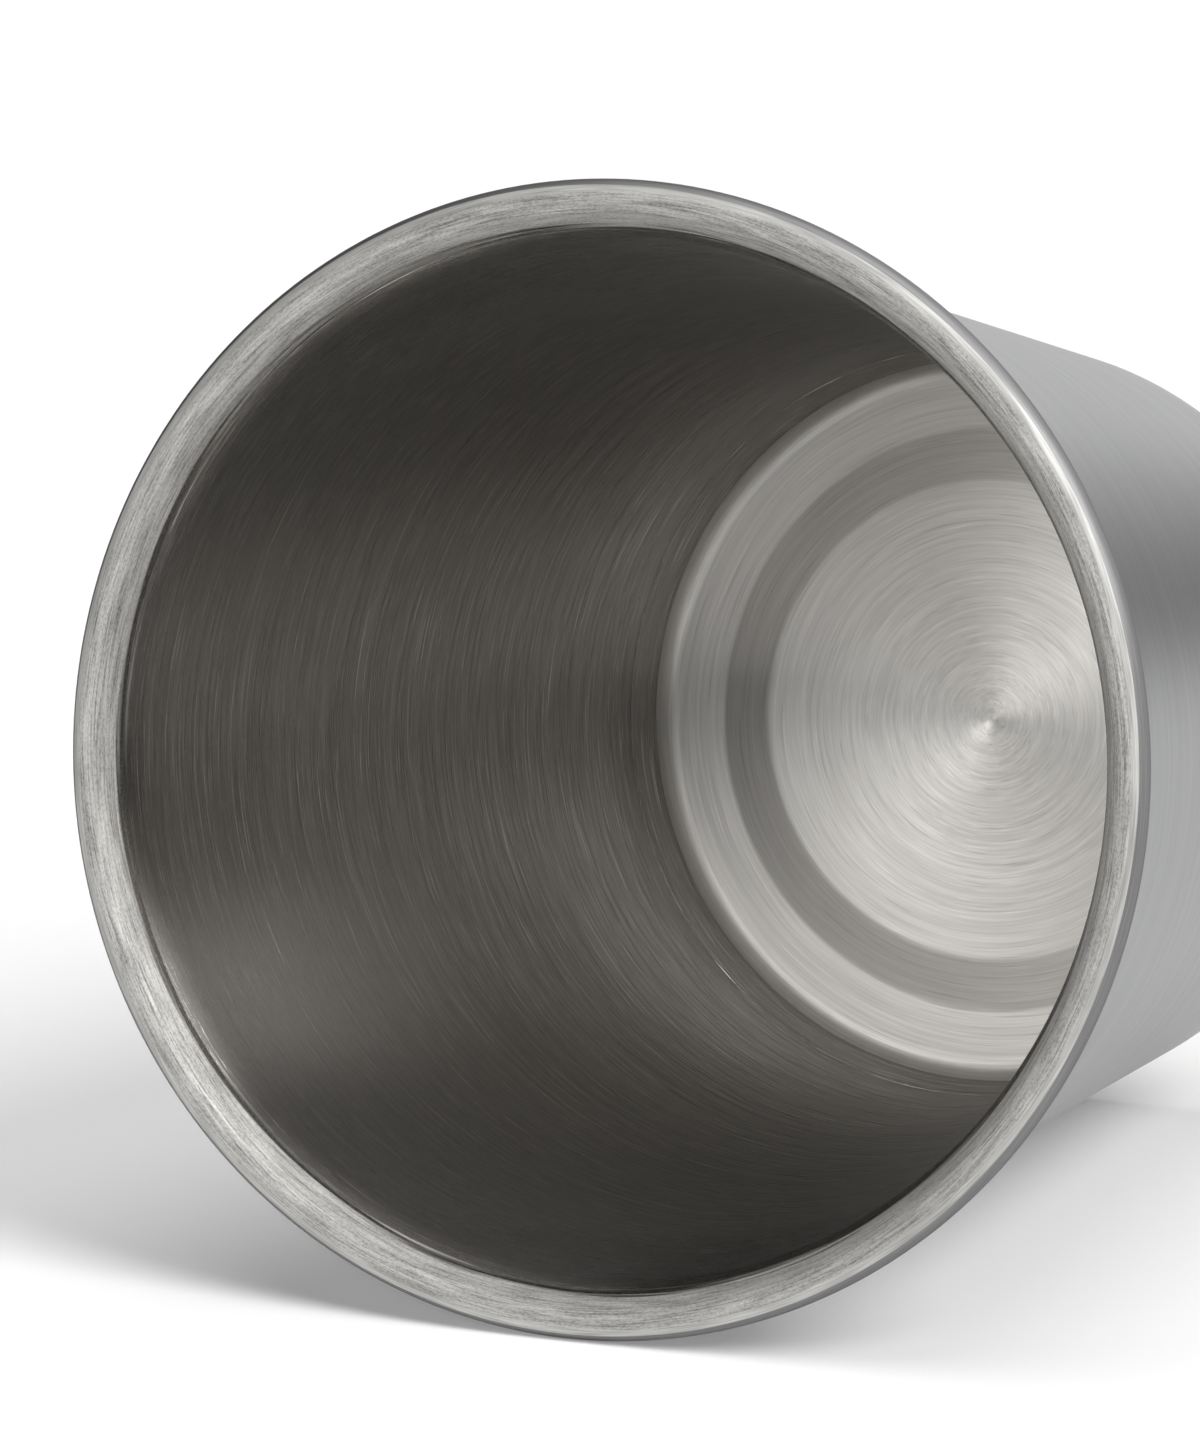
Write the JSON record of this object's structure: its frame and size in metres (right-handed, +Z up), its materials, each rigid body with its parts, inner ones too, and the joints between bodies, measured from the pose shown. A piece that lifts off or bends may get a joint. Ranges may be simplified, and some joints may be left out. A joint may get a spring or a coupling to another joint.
{
  "type": "julep cup",
  "caption": "Tapered metal drinking cup with a rolled lip and a stepped, pressed floor let into its foot.",
  "frame": {"origin": "middle of the standing face under the foot", "axes": "+Z up the cup's axis towards the mouth; the cup is round about Z, and the picture looks into the mouth from the +X side"},
  "size_m": [0.086, 0.086, 0.0915],
  "materials": {
    "sleeve_steel": "stainless steel, satin outside, brushed round the wall inside, linished lip",
    "pan_steel": "stainless steel, turned with fine concentric marks",
    "wire_steel": "drawn stainless wire, hidden inside the roll"
  },
  "bodies": {
    "root": {"sleeve": "sleeve_steel", "floor_pan": "pan_steel", "rim_wire": "wire_steel"}
  },
  "joints": []
}
